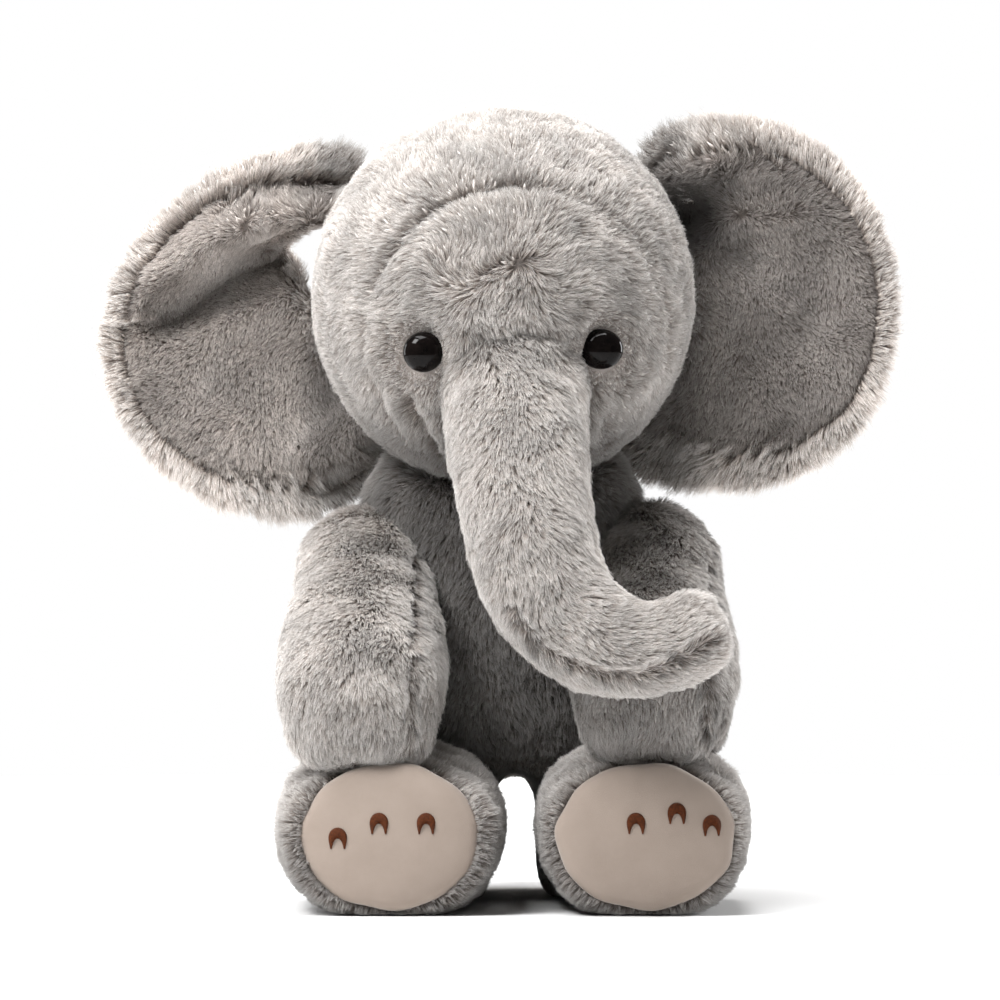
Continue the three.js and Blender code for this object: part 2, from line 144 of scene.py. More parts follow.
def fibre(name, root, middle, tip, along, translucent=0.0):
    """Pile: dark at the root, pale at the tip, varied by the tone attribute, which carries painted shade and
    light as well as random tone.
    """
    m, nodes, links, shader = material(name, rough=0.85, specular=0.08)
    if along == "Intercept":
        position = node(nodes, "HairInfo").outputs["Intercept"]
    else:
        position = node(nodes, "Attribute", attribute_name=along).outputs["Fac"]
    gradient = colours(nodes, [(0.0, root), (0.45, middle), (1.0, tip)])
    links.new(position, gradient.inputs[0])
    tone = node(nodes, "Attribute", attribute_name="tone")
    mix = node(nodes, "Mix", data_type="RGBA", blend_type="MULTIPLY")
    mix.inputs[0].default_value = 1.0
    links.new(gradient.outputs[0], mix.inputs[6])
    links.new(tone.outputs["Fac"], mix.inputs[7])
    links.new(mix.outputs[2], shader.inputs["Base Color"])
    if translucent:
        output = nodes["Material Output"]
        through = node(nodes, "BsdfTranslucent")
        both = node(nodes, "MixShader", Fac=translucent)
        links.new(mix.outputs[2], through.inputs["Color"])
        links.new(shader.outputs[0], both.inputs[1])
        links.new(through.outputs[0], both.inputs[2])
        links.new(both.outputs[0], output.inputs[0])
    return m


def cloth_material(name, dark, light, scale, bump_size, bump_depth, rough=0.9, sheen=0.3):
    """Fabric: mottled colour and a fine raised grain."""
    m, nodes, links, shader = material(name, rough, specular=0.2, sheen=sheen)
    where = node(nodes, "TexCoord").outputs["Object"]
    mottle = node(nodes, "TexNoise", Scale=scale, Detail=5.0, Roughness=0.6)
    grain = node(nodes, "TexNoise", Scale=bump_size, Detail=3.0, Roughness=0.7)
    tint = colours(nodes, [(0.3, dark), (0.7, light)])
    raised = node(nodes, "Bump", Strength=bump_depth, Distance=0.0006)
    links.new(where, mottle.inputs["Vector"])
    links.new(where, grain.inputs["Vector"])
    links.new(mottle.outputs["Fac"], tint.inputs[0])
    links.new(tint.outputs[0], shader.inputs["Base Color"])
    links.new(grain.outputs["Fac"], raised.inputs["Height"])
    links.new(raised.outputs[0], shader.inputs["Normal"])
    return m


PILE_ROOT, PILE_MIDDLE, PILE_TIP = (0.19, 0.162, 0.145), (0.455, 0.405, 0.37), (0.80, 0.78, 0.76)
LINING_ROOT, LINING_MIDDLE, LINING_TIP = (0.15, 0.124, 0.108), (0.38, 0.337, 0.31), (0.62, 0.585, 0.558)
HAIR = fibre("pile_fibre", PILE_ROOT, PILE_MIDDLE, PILE_TIP, "Intercept", 0.3)
HAIR_LINING = fibre("lining_fibre", LINING_ROOT, LINING_MIDDLE, LINING_TIP, "Intercept", 0.25)
TUFT = fibre("pile_tufts", PILE_MIDDLE, PILE_MIDDLE, (0.58, 0.56, 0.54), "along")
TUFT_LINING = fibre("lining_tufts", LINING_MIDDLE, LINING_MIDDLE, (0.48, 0.445, 0.42), "along")
BACKING = cloth_material("pile_backing", (0.22, 0.193, 0.176), (0.34, 0.305, 0.282), 90, 900, 0.8)
BACKING_LINING = cloth_material("lining_backing", (0.16, 0.137, 0.121), (0.25, 0.217, 0.195), 90, 900, 0.8)
SUEDE = cloth_material("sole_suede", (0.30, 0.243, 0.203), (0.335, 0.273, 0.23), 70, 2600, 0.25, 0.85, 0.4)
FIBRE_FILL = cloth_material("fibre_fill", (0.78, 0.76, 0.71), (0.92, 0.90, 0.86), 120, 700, 1.0)
COTTON = cloth_material("pouch_cotton", (0.58, 0.53, 0.44), (0.72, 0.67, 0.58), 300, 1800, 0.6)
THREAD_DARK, THREAD_LIGHT = (0.045, 0.01, 0.001), (0.115, 0.026, 0.003)
THREAD = cloth_material("nail_thread", THREAD_DARK, THREAD_LIGHT, 1500, 2500, 0.7, 0.65, 0.0)
NYLON = cloth_material("washer_nylon", (0.74, 0.74, 0.71), (0.80, 0.80, 0.77), 60, 500, 0.15, 0.5, 0.0)


def eye_material():
    """Glossy black with a trace of brown."""
    m, nodes, links, shader = material("eye_gloss", rough=0.05, specular=0.11)
    where = node(nodes, "TexCoord").outputs["Object"]
    cloud = node(nodes, "TexNoise", Scale=300.0, Detail=2.0)
    tint = colours(nodes, [(0.3, (0.0025, 0.002, 0.002)), (0.7, (0.007, 0.005, 0.0045))])
    links.new(where, cloud.inputs["Vector"])
    links.new(cloud.outputs["Fac"], tint.inputs[0])
    links.new(tint.outputs[0], shader.inputs["Base Color"])
    return m


EYE = eye_material()


# ---------------------------------------------------------------- meshes
def new_object(name, data, mat):
    """An object in the scene with one material."""
    o = bpy.data.objects.new(name, data)
    scene.collection.objects.link(o)
    data.materials.clear()
    data.materials.append(mat)
    return o


def mesh_of(name, verts, faces, mat):
    """An object from an array of points and arrays of triangles or quads."""
    me = bpy.data.meshes.new(name)
    me.vertices.add(len(verts))
    me.vertices.foreach_set("co", np.asarray(verts, np.float32).ravel())
    loops = np.concatenate([f.ravel() for f in faces]).astype(np.int32)
    sizes = np.concatenate([np.full(len(f), f.shape[1]) for f in faces])
    starts = np.concatenate([[0], np.cumsum(sizes)[:-1]]).astype(np.int32)
    me.loops.add(len(loops))
    me.loops.foreach_set("vertex_index", loops)
    me.polygons.add(len(sizes))
    me.polygons.foreach_set("loop_start", starts)
    me.update(calc_edges=True)
    me.validate()
    me.shade_smooth()
    return new_object(name, me, mat)


def lathe_mesh(name, verts, around, mat):
    """A closed mesh from a first point, rings of points and a last point."""
    ring, rings = np.arange(around), (len(verts) - 2) // around
    after, last = (ring + 1) % around, 1 + (rings - 1) * around
    quads = [np.stack([1 + k * around + ring, 1 + k * around + after, 1 + (k + 1) * around + after,
                       1 + (k + 1) * around + ring], 1) for k in range(rings - 1)]
    caps = [np.stack([1 + after, 1 + ring, np.zeros(around, int)], 1),
            np.stack([last + ring, last + after, np.full(around, len(verts) - 1)], 1)]
    o = mesh_of(name, verts, [np.concatenate(quads), np.concatenate(caps)], mat)
    bm = bmesh.new()
    bm.from_mesh(o.data)
    bmesh.ops.recalc_face_normals(bm, faces=bm.faces)
    bm.to_mesh(o.data)
    bm.free()
    o.data.shade_smooth()
    return o


def points_of(me):
    """A mesh's points, in metres."""
    co = np.zeros(len(me.vertices) * 3, np.float32)
    me.vertices.foreach_get("co", co)
    return co.reshape(-1, 3).astype(float)


def set_points(me, co):
    me.vertices.foreach_set("co", co.astype(np.float32).ravel())
    me.update()


def applied(o):
    """Replaces the object's mesh with its evaluated one, and drops its modifiers."""
    dg = bpy.context.evaluated_depsgraph_get()
    me = bpy.data.meshes.new_from_object(o.evaluated_get(dg))
    o.modifiers.clear()
    mats = list(o.data.materials)
    o.data = me
    me.materials.clear()
    for m in mats:
        me.materials.append(m)
    me.shade_smooth()
    return o


def largest_shell(o):
    """Keeps the connected shell with the largest box."""
    me = o.data
    n = len(me.vertices)
    edges = np.zeros(len(me.edges) * 2, np.int32)
    me.edges.foreach_get("vertices", edges)
    edges = edges.reshape(-1, 2)
    label = np.arange(n)
    while True:
        low = np.minimum(label[edges[:, 0]], label[edges[:, 1]])
        new = label.copy()
        np.minimum.at(new, edges[:, 0], low)
        np.minimum.at(new, edges[:, 1], low)
        new = new[new]
        if (new == label).all():
            break
        label = new
    co = points_of(me)
    names, inverse = np.unique(label, return_inverse=True)
    if len(names) == 1:
        return
    sizes = [np.ptp(co[inverse == i], axis=0).sum() for i in range(len(names))]
    keep = inverse == int(np.argmax(sizes))
    bm = bmesh.new()
    bm.from_mesh(me)
    bm.verts.ensure_lookup_table()
    bmesh.ops.delete(bm, geom=[bm.verts[i] for i in np.flatnonzero(~keep)], context="VERTS")
    bm.to_mesh(me)
    bm.free()


def form_of(name, nodes, mat, voxel, smooth=3):
    """A closed form from CAD nodes' own meshes: joined, voxel remeshed and smoothed."""
    verts, faces, base = [], [], 0
    for n in nodes:
        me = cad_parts[n].data
        me.calc_loop_triangles()
        tri = np.zeros(len(me.loop_triangles) * 3, np.int32)
        me.loop_triangles.foreach_get("vertices", tri)
        verts.append(points_of(me))
        faces.append(tri.reshape(-1, 3) + base)
        base += len(verts[-1])
    o = mesh_of(name, np.concatenate(verts), [np.concatenate(faces)], mat)
    o.modifiers.new("weld", "WELD").merge_threshold = 1e-5
    remesh = o.modifiers.new("remesh", "REMESH")
    remesh.mode = "VOXEL"
    remesh.voxel_size = voxel * MM
    applied(o)
    largest_shell(o)
    soften = o.modifiers.new("smooth", "SMOOTH")
    soften.factor = 0.5
    soften.iterations = smooth
    return applied(o)


def inflate(jobs, frames=20):
    """Cloth with pressure on every form at once. Seam points are held, and the cap limits the rest."""
    for o, _, seam, pressure in jobs:
        co = points_of(o.data)
        group = o.vertex_groups.new(name="held")
        held = bump(seam(local(co)), 3.0) if seam else np.zeros(len(co))
        for i in np.flatnonzero(held > 0.02):
            group.add([int(i)], float(held[i]), "REPLACE")
        cloth = o.modifiers.new("cloth", "CLOTH")
        s = cloth.settings
        s.quality = 4
        s.mass = 0.3
        s.use_pressure = True
        s.uniform_pressure_force = pressure
        s.effector_weights.gravity = 0
        s.tension_stiffness = s.compression_stiffness = 15
        s.shear_stiffness = 5
        s.bending_stiffness = 0.5
        s.vertex_group_mass = "held"
        s.pin_stiffness = 1
        cloth.collision_settings.use_collision = False
    before = [points_of(o.data) for o, *_ in jobs]
    for f in range(1, frames + 1):
        scene.frame_set(f)
    for (o, cap, _, _), rest in zip(jobs, before):
        applied(o)
        moved = points_of(o.data) - rest
        size = np.linalg.norm(moved, axis=1)[:, None]
        moved *= np.minimum(1, cap * MM / np.maximum(size, 1e-9))
        set_points(o.data, rest + moved)
        o.vertex_groups.clear()
    scene.frame_set(1)


def subdivide(o):
    """One level of smooth subdivision, applied."""
    s = o.modifiers.new("subdivision", "SUBSURF")
    s.levels = s.render_levels = 1
    return applied(o)


# ---------------------------------------------------------------- pile
def normals_of(me):
    """A mesh's smooth normals, one a point."""
    n = np.zeros(len(me.vertices) * 3, np.float32)
    me.vertex_normals.foreach_get("vector", n)
    return n.reshape(-1, 3).astype(float)


def scatter(o, per_mm2, seed, keep=None):
    """Random roots on a mesh with their smooth normals. keep(p, n) gives each root's chance to stay."""
    me = o.data
    me.calc_loop_triangles()
    tri = np.zeros(len(me.loop_triangles) * 3, np.int32)
    me.loop_triangles.foreach_get("vertices", tri)
    tri = tri.reshape(-1, 3)
    co, nor = points_of(me), normals_of(me)
    a, b, c = (co[tri[:, i]] for i in range(3))
    area = np.linalg.norm(np.cross(b - a, c - a), axis=1) / 2
    rng = np.random.default_rng(seed)
    count = int(area.sum() / MM**2 * per_mm2)
    pick = rng.choice(len(tri), count, p=area / area.sum())
    u, v = rng.random(count), rng.random(count)
    flip = u + v > 1
    u[flip], v[flip] = 1 - u[flip], 1 - v[flip]
    w = np.stack([1 - u - v, u, v], 1)
    p = (co[tri[pick]] * w[:, :, None]).sum(1)
    n = (nor[tri[pick]] * w[:, :, None]).sum(1)
    n /= np.maximum(np.linalg.norm(n, axis=1), 1e-9)[:, None]
    if keep is not None:
        stay = rng.random(count) < keep(local(p), n)
        p, n = p[stay], n[stay]
    return p, n


def unit(v):
    """Each row of v at length 1."""
    return v / np.maximum(np.linalg.norm(v, axis=1), 1e-9)[:, None]


def strands(p, n, style, steps, seed, spread):
    """Strand points (count, steps + 1, 3) that leave the surface along n and lean into the nap."""
    swirl, root_depth = 18, 0.3
    rng = np.random.default_rng(seed)
    q = local(p)
    nap, lean_root, lean_tip, length = style(q, n)
    nap = unit(nap - (nap * n).sum(1)[:, None] * n)
    side = np.cross(n, nap)
    turn = np.radians(swirl) * waves(q, 20, 5)
    turn += np.radians(spread) * rng.normal(size=len(p))
    nap = nap * np.cos(turn)[:, None] + side * np.sin(turn)[:, None]
    jitter = np.radians(spread * 0.5) * rng.normal(size=len(p))
    length = length * (1 + 0.10 * waves(q, 9, 6)) * rng.uniform(0.72, 1.08, len(p)) * MM
    out = np.zeros((len(p), steps + 1, 3))
    out[:, 0] = p - n * root_depth * MM
    for k in range(steps):
        t = (k + 0.5) / steps
        a = np.clip(np.radians(lean_root + (lean_tip - lean_root) * t) + jitter, 0, 1.65)
        d = n * np.cos(a)[:, None] + nap * np.sin(a)[:, None]
        out[:, k + 1] = out[:, k] + d * (length / steps)[:, None]
    return out


def hair(name, o, style, density, mat, clump, size, keep, seed, shade):
    """Fine strands for the render, gathered round guide strands, as one hair object on the piece."""
    steps, guides_per_mm2, stray = 5, 0.4, 0.11 * MM
    p, n = scatter(o, density, SEED + seed, keep)
    gp, gn = scatter(o, guides_per_mm2, SEED + seed + 500, keep)
    g = strands(gp, gn, style, steps, SEED + seed + 1, spread=9)
    s = strands(p, n, style, steps, SEED + seed + 2, spread=6)
    tree = KDTree(len(gp))
    for i, x in enumerate(gp):
        tree.insert(x, i)
    tree.balance()
    near = np.array([tree.find(x)[1] for x in p])
    same = (gn[near] * n).sum(1) > 0.5
    rng = np.random.default_rng(SEED + seed + 3)
    pull = clump * rng.uniform(0.5, 1.1, len(p)) * same
    for k in range(1, steps + 1):
        w = pull * (k / steps) ** 1.3
        s[:, k] += w[:, None] * (g[near, k] - s[:, k])
        s[:, k] += rng.normal(size=(len(p), 3)) * stray
    s[:, :, 2] = np.maximum(s[:, :, 2], FLOOR_GAP)
    curves = bpy.data.hair_curves.new(name)
    curves.add_curves([steps + 1] * len(p))
    curves.attributes["position"].data.foreach_set("vector", s.astype(np.float32).ravel())
    t = np.linspace(0, 1, steps + 1)
    radius = np.tile(size * (1 - 0.75 * t**1.5) * MM, len(p))
    r = curves.attributes.get("radius") or curves.attributes.new("radius", "FLOAT", "POINT")
    r.data.foreach_set("value", radius.astype(np.float32))
    # the tone carries the painted shade and light by place, times random variation
    tone = painted_light_shade_and_seam_flecks(shade, local(p)) * (1 + 0.08 * waves(local(p), 24, 7) + 0.08 * rng.normal(size=len(p)))
    tone *= (1 + 0.06 * rng.normal(size=len(gp)))[near]
    a = curves.attributes.new("tone", "FLOAT", "CURVE")
    a.data.foreach_set("value", np.clip(tone, 0.25, 1.5).astype(np.float32))
    h = bpy.data.objects.new(name, curves)
    scene.collection.objects.link(h)
    curves.materials.append(mat)
    return h


def scaled(style, share):
    """A style with its length multiplied by a share."""
    nap, lean_root, lean_tip, length = style
    return nap, lean_root, lean_tip, length * share


def tufts(name, o, style, density, mat, width, keep, seed, shade):
    """Tapered, curved locks of pile as real mesh, one closed spike each."""
    height, sunk, lock_gap, lowest = 0.75, 0.6 * MM, 0.4 * MM, 0.05 * MM
    p, n = scatter(o, density, SEED + seed + 900, keep)
    s = strands(p, n, lambda q, m: scaled(style(q, m), height), 2, SEED + seed + 4, spread=14)
    s[:, 0] -= n * sunk
    s[:, :, 2] = np.maximum(s[:, :, 2], lock_gap)
    along = unit(s[:, -1] - s[:, 0])
    right = unit(np.cross(along, n + 1e-3))
    up = np.cross(right, along)
    rng = np.random.default_rng(SEED + seed + 5)
    wide = width * rng.uniform(0.7, 1.3, len(p)) * MM
    rings = []
    for k, share in enumerate((1.0, 0.85)):
        for angle in (0.0, 2.1, 4.2):
            off = math.cos(angle) * right + 0.35 * math.sin(angle) * up
            rings.append(s[:, k] + off * (wide * share)[:, None])
    rings.append(s[:, 2])
    verts = np.stack(rings, 1)
    verts[:, :, 2] += np.maximum(lowest - verts[:, :, 2].min(1), 0)[:, None]
    count = verts.shape[1]
    base = (np.arange(len(p)) * count)[:, None]
    quads = [(i, (i + 1) % 3, 3 + (i + 1) % 3, 3 + i) for i in range(3)]
    tris = [(3 + i, 3 + (i + 1) % 3, 6) for i in range(3)] + [(2, 1, 0)]
    quad_faces = (base[:, :, None] + np.array(quads)[None]).reshape(-1, 4)
    tri_faces = (base[:, :, None] + np.array(tris)[None]).reshape(-1, 3)
    t = mesh_of(name, verts.reshape(-1, 3), [quad_faces, tri_faces], mat)
    me = t.data
    heights = np.tile(np.array([0.0] * 3 + [0.5] * 3 + [1.0]), len(p))
    # the tone carries the painted shade and light by place, times random variation
    tone = painted_light_shade_and_seam_flecks(shade, local(p)) * (1 + 0.1 * waves(local(p), 24, 7) + 0.1 * rng.normal(size=len(p)))
    tone = np.repeat(np.clip(tone, 0.3, 1.5), count)
    me.attributes.new("along", "FLOAT", "POINT").data.foreach_set("value", heights.astype(np.float32))
    me.attributes.new("tone", "FLOAT", "POINT").data.foreach_set("value", tone.astype(np.float32))
    return t


# ---------------------------------------------------------------- forms
# Places, lines and distances are in millimetres from the toy's own origin: x right, y back, z up.
def middle(node_name):
    """The middle of a CAD node's box, in millimetres from the toy's own origin."""
    low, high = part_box(node_name)
    return local(np.array((low + high) / 2))


EYES = [middle(f"eye_{side}") for side in SIDES]
PADS = [middle(f"sole_pad_{side}") for side in SIDES]
PAD_HALF = (31, 25.5)  # half a pad's width and height
WHORL = np.array([-4.0, -86.0, 220.0])  # where the forehead's pile parts in all directions
PANEL = (5.0, 198.0, 50.0)  # the face panel's seam, seen from the front: x, z, radius
TRUNK = [(4, -68, 180), (5, -84, 162), (7, -95, 145), (9.5, -103, 129), (14, -110, 114), (22, -116, 102),
         (33, -120, 94.5), (45, -122, 91.5), (57, -123, 93), (68, -123, 98)]
TRUNK_SEAM = [(3.5, 108.5), (11, 96), (18, 91), (26, 87), (35, 85), (44, 84.5), (53, 86), (61, 90), (69, 95)]
ARMS = {"left": [(-48, -15, 118), (-49, -88, 76)], "right": [(52, -15, 119), (52, -79, 76)]}
EAR_CENTRES = {"left": (-98.5, 4, 199), "right": (99, 4, 210)}
LINING_NAP = {"left": (-0.55, 0, -0.8), "right": (0.35, 0, -0.9)}
LEFT_VALLEY = np.array([(-66, 226), (-83, 225), (-92, 221), (-106, 212), (-119, 205)], float)
LEFT_RIDGE = [(-56, 176), (-72, 156)]
EAR_SLIT = (-70.0, 230.5)  # where daylight shows between the left ear and the head
SLIT_WIDTH = 10
EAR_TUCK, LINING_TUCK = 10, 15  # how far an ear's inner edge goes behind the head
TUCK_TOP = {"left": 210, "right": 252}
POCKET = (70, 240)  # the right ear's hollow next to the head
CREASES = [([(-31, 176), (-26, 168), (-20, 157)], 3.0), ([(33, 172), (35, 163)], 1.6)]  # cheeks: line, depth
SOLE_TILT = math.radians(9)
PAD_BULGE = 5.0
SOLE_ROLL = 5.5  # how far the fabric round a sole comes forwards
HAND_DROP = {"left": 5.5, "right": 3.5}
HAND_CORNER = 2.9  # the power of the blunt hand's superellipse: 2 is round


def from_spot(q, spot):
    """Distance from an (x, z) spot, seen from the front."""
    return np.hypot(q[:, 0] - spot[0], q[:, 2] - spot[1])


def on_line(q, line):
    """The closest point of a polyline and its direction there, for each q."""
    line = np.array(line, float)
    best, close, way = np.full(len(q), 1e9), np.zeros_like(q), np.zeros_like(q)
    for a, b in zip(line[:-1], line[1:]):
        l = np.linalg.norm(b - a)
        t = np.clip((q - a) @ (b - a) / l**2, 0, 1)
        c = a + t[:, None] * (b - a)
        d = np.linalg.norm(q - c, axis=1)
        near = d < best
        best[near], close[near], way[near] = d[near], c[near], (b - a) / l
    return close, way


# A seam gives each point's distance from it in millimetres.
def panel_seam(q):
    ring = np.abs(from_spot(q, PANEL[:2]) - PANEL[2])
    return np.where((q[:, 1] < -45) & (q[:, 2] > PANEL[1] - 34), ring, FAR)


def head_seam(q):
    back = np.where(q[:, 1] > -30, np.abs(q[:, 0] - 1) + 2.5, FAR)  # set off by 2.5, so it shows less
    return np.minimum(panel_seam(q), back)


def trunk_seam(q):
    d, _ = to_line(q[:, [0, 2]], TRUNK_SEAM)
    return np.where(q[:, 1] < -100, d, FAR)


def arm_seam(side):
    x = {"left": -32.0, "right": 70.0}[side]
    return lambda q: np.abs(q[:, 0] - x)


def back_seam(q):
    return np.where(q[:, 1] > 0, np.abs(q[:, 0] - 3), FAR)


def eye_gap(q):
    """Distance from the nearer eye's centre line, in millimetres."""
    d = [np.hypot((q[:, 0] - e[0]) * 1.08, q[:, 2] - e[2]) + FAR * (q[:, 1] > -50) for e in EYES]
    return np.minimum(*d)


def pad_gap(q):
    """Distance from the nearer sole pad's centre as a share of the pad's size, seen from the front."""
    d = [np.hypot((q[:, 0] - p[0]) / PAD_HALF[0], (q[:, 2] - p[2]) / PAD_HALF[1]) for p in PADS]
    return np.minimum(*d)


def parted(nap, q, seam, strength, reach=4):
    """Turns the nap away from a seam. A slope over 1.5 is a jump at the seam's end, and is left out."""
    d = seam(q)
    step = 0.5
    slope = np.stack([seam(q + step * np.eye(3)[i]) - d for i in range(3)], 1) / step
    slope = np.where(np.abs(slope) > 1.5, 0, slope)
    return nap + strength * bump(d, reach)[:, None] * slope


# A style gives the pile's nap, its lean in degrees at the root and at the tip, and its length in millimetres.
def head_style(q, n):
    away = q - WHORL
    drift = np.stack([waves(q, 26, 40 + i) for i in range(3)], 1)
    nap = parted(unit(away + 11 * drift), q, head_seam, 0.8)
    gap = eye_gap(q)
    length = 6.8 * (0.2 + 0.8 * ramp(gap, 7, 18))
    near = ramp(np.linalg.norm(away, axis=1), 0, 26)
    length = length * (1 - 0.6 * bump(from_spot(q, EAR_SLIT), 12))
    return nap, 34 + 12 * near, 58 + 24 * near, length


def trunk_style(q, n):
    close, way = on_line(q, TRUNK)
    out = (q - close) * np.array([1, 0.15, 1])
    out *= np.linalg.norm(out, axis=1)[:, None] / 16
    face = unit(q - WHORL)
    share = ramp(q[:, 2], 150, 186)[:, None]
    nap = parted((0.75 * way + out / 20) * (1 - share) + face * share, q, trunk_seam, 0.7)
    return nap, 42, 80, np.full(len(q), 6.6)


def arm_style(side):
    def style(q, n):
        close, way = on_line(q, ARMS[side])
        out = (q - close) * np.array([1, 0.2, 0.5])
        out *= np.linalg.norm(out, axis=1)[:, None] / 20
        nap = parted(0.8 * way + np.array([0, 0, -0.4]) + out / 34, q, arm_seam(side), 0.6)
        return nap, 42, 80, np.full(len(q), 6.8)
    return style


def torso_style(q, n):
    out = q * np.array([1, 1, 0]) / 90
    nap = parted(np.array([0, 0, -1.0]) + out, q, back_seam, 0.5)
    groove = (1 - ramp(np.abs(q[:, 0] - 4), 14, 19)) * (1 - ramp(q[:, 2], 50, 58))
    return nap, 30, 62, 7.5 - 5 * groove


def leg_style(side):
    pad = PADS[side == "right"]

    def style(q, n):
        out = (q - pad) * np.array([1, 0, 1.1])
        nap = unit(out) + np.array([0, 0.8, 0]) * ramp(q[:, 1], -104, -80)[:, None]
        gap = pad_gap(q)
        length = 8.0 * (0.7 + 0.3 * ramp(gap, 0.98, 1.2))
        return nap, 34, 72, length
    return style


def ear_style(side, lining=False):
    centre = np.array(EAR_CENTRES[side], float)

    def style(q, n):
        out = (q - centre) * np.array([1, 0, 1])
        reach = np.linalg.norm(out, axis=1)
        if lining:
            rim = ramp(reach, 26, 40)[:, None]
            drift = np.stack([waves(q, 24, 60 + i) for i in range(3)], 1)
            return unit(out) * rim + np.array(LINING_NAP[side]) + 0.35 * drift, 30, 66, 3.6 + 1.4 * rim[:, 0]
        edge = ramp(reach, 30, 46)
        root = np.array([58.0 * np.sign(centre[0]), 4, 205])
        flow = unit((q - root) * np.array([1, 0, 1])) * (1 - edge)[:, None] + unit(out) * edge[:, None]
        return flow, 32, 76, (5.6 + 3.0 * edge) * (1 - 0.75 * bump(from_spot(q, EAR_SLIT), 13))
    return style


def tail_style(q, n):
    return np.tile([0.0, 0.1, -1.0], (len(q), 1)), 35, 72, 7 + 8 * ramp(-q[:, 2], -40, -26)


def dents(q, n):
    """How far the head's fabric goes in at eyes, seams and creases, in mm. It comes out round the trunk."""
    d = 2.4 * bump(eye_gap(q), 15)
    d += 0.5 * bump(head_seam(q), 5)
    brow = ramp(q[:, 2], 216, 232) * (1 - 0.6 * ramp(q[:, 0], -5, 20))
    d += 1.5 * bump(panel_seam(q), 4.5) * brow
    trunk_radius = 24.5
    root = np.linalg.norm(q - np.array(TRUNK[0]), axis=1) - trunk_radius
    d -= 3.6 * bump(np.maximum(root, 0), 13)
    for line, depth in CREASES:
        d += np.where(q[:, 1] < -40, depth * bump(to_line(q[:, [0, 2]], line)[0], 5), 0)
    return d


def fold_left(q):
    """How far back each point of the left ear goes, in millimetres."""
    d, share = to_line(q[:, [0, 2]], LEFT_VALLEY)
    above = q[:, 2] > np.interp(-q[:, 0], -LEFT_VALLEY[:, 0], LEFT_VALLEY[:, 1])
    fade = 1 - 0.65 * share
    deep = 16 * bump(d, 13) * fade
    roll = np.where(above, -12 * bump(d - 14, 13) * fade, 0)
    ridge, _ = to_line(q[:, [0, 2]], LEFT_RIDGE)
    return deep + roll - 6 * bump(ridge, 12)


def fold_right(q):
    """How far back each point of the right ear goes, in millimetres."""
    pocket = 15 * bump(from_spot(q, POCKET), 17)
    lump = 7 * bump(from_spot(q, (74, 259)), 14)
    dish = 4 * bump(from_spot(q, (98, 211)) - 16, 18)
    return pocket - lump + dish


FOLDS = {"left": fold_left, "right": fold_right}


def push(o, amount):
    """Moves each point in against its normal by amount(q, n) millimetres."""
    co, n = points_of(o.data), normals_of(o.data)
    set_points(o.data, co - n * (amount(local(co), n) * MM)[:, None])


def lifted(o):
    """Keeps every point of a cover just off the floor."""
    co = points_of(o.data)
    co[:, 2] = np.maximum(co[:, 2], FLOOR_GAP)
    set_points(o.data, co)


def rolled(o):
    """Lays a leg's front against its tilted sole, and brings the fabric round the sole forwards."""
    co = points_of(o.data)
    q = local(co)
    front = ramp(-q[:, 1], 86, 103)
    tilt = (PADS[0][2] - q[:, 2]) * math.tan(SOLE_TILT)
    co[:, 1] -= front * (tilt + SOLE_ROLL * bump(pad_gap(q) - 1.1, 0.22)) * MM
    set_points(o.data, co)


def squared(o, side):
    """Draws a hand's underside down and out into blunt corners."""
    co = points_of(o.data)
    q = local(co)
    hand = np.array(ARMS[side][1], float) + np.array([0, 0, -3.0])
    off = (q - hand)[:, [0, 2]]
    reach = np.maximum(np.linalg.norm(off, axis=1), 1e-6)
    corner = (np.abs(off / reach[:, None]) ** HAND_CORNER).sum(1) ** (-1 / HAND_CORNER)
    share = ramp(-q[:, 1], 40, 75) * ramp(-off[:, 1], -4, 10)
    co[:, [0, 2]] += off * ((corner - 1) * share)[:, None] * MM
    co[:, 2] -= HAND_DROP[side] * share * MM
    set_points(o.data, co)


def fold(o, side, draw):
    """Folds an ear, tucks its inner edge behind the head, and opens the left ear's slit."""
    co = points_of(o.data)
    q = local(co)
    co[:, 1] += FOLDS[side](q) * MM
    outwards = np.sign(q[:, 0])
    inner = 1 - ramp(np.abs(q[:, 0]), 62, 92)
    top = TUCK_TOP[side]
    beside = ramp(q[:, 2], 140, 156) * (1 - ramp(q[:, 2], top, top + 10))
    co[:, 0] -= outwards * draw * inner * beside * MM
    if side == "left":
        co[:, 0] += outwards * SLIT_WIDTH * inner * bump(q[:, 2] - EAR_SLIT[1], 11) * MM
    set_points(o.data, co)


def finish_piece(o, body, slot, *nodes):
    """Puts a piece in the place of CAD nodes, on its body. The slot is not used."""
    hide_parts(*nodes)
    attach(o, body)


forms = {
    "head": form_of("head_cover", ["head_skin", "face_panel", "head_stuffing"], BACKING, 3.6),
    "trunk": form_of("trunk_cover", ["trunk_skin", "trunk_stuffing"], BACKING, 3.0),
    "torso": form_of("torso_cover", ["torso_skin", "torso_stuffing"], BACKING, 4.0),
    "tail": form_of("tail_cover", ["tail"], BACKING, 1.6, 1),
}
for side in SIDES:
    arm, leg = f"arm_{side}", f"leg_{side}"
    forms[arm] = form_of(arm + "_cover", [arm + "_skin", arm + "_stuffing"], BACKING, 3.2)
    forms[leg] = form_of(leg + "_cover", [leg + "_skin", leg + "_stuffing"], BACKING, 3.0, 1)
    forms["ear_" + side] = form_of(f"ear_{side}_cover", [f"ear_{side}_back"], BACKING, 2.0, 2)
    forms["lining_" + side] = form_of(f"ear_{side}_inside", [f"ear_{side}_lining"], BACKING_LINING, 1.5, 1)
    fold(forms["ear_" + side], side, EAR_TUCK)
    fold(forms["lining_" + side], side, LINING_TUCK)

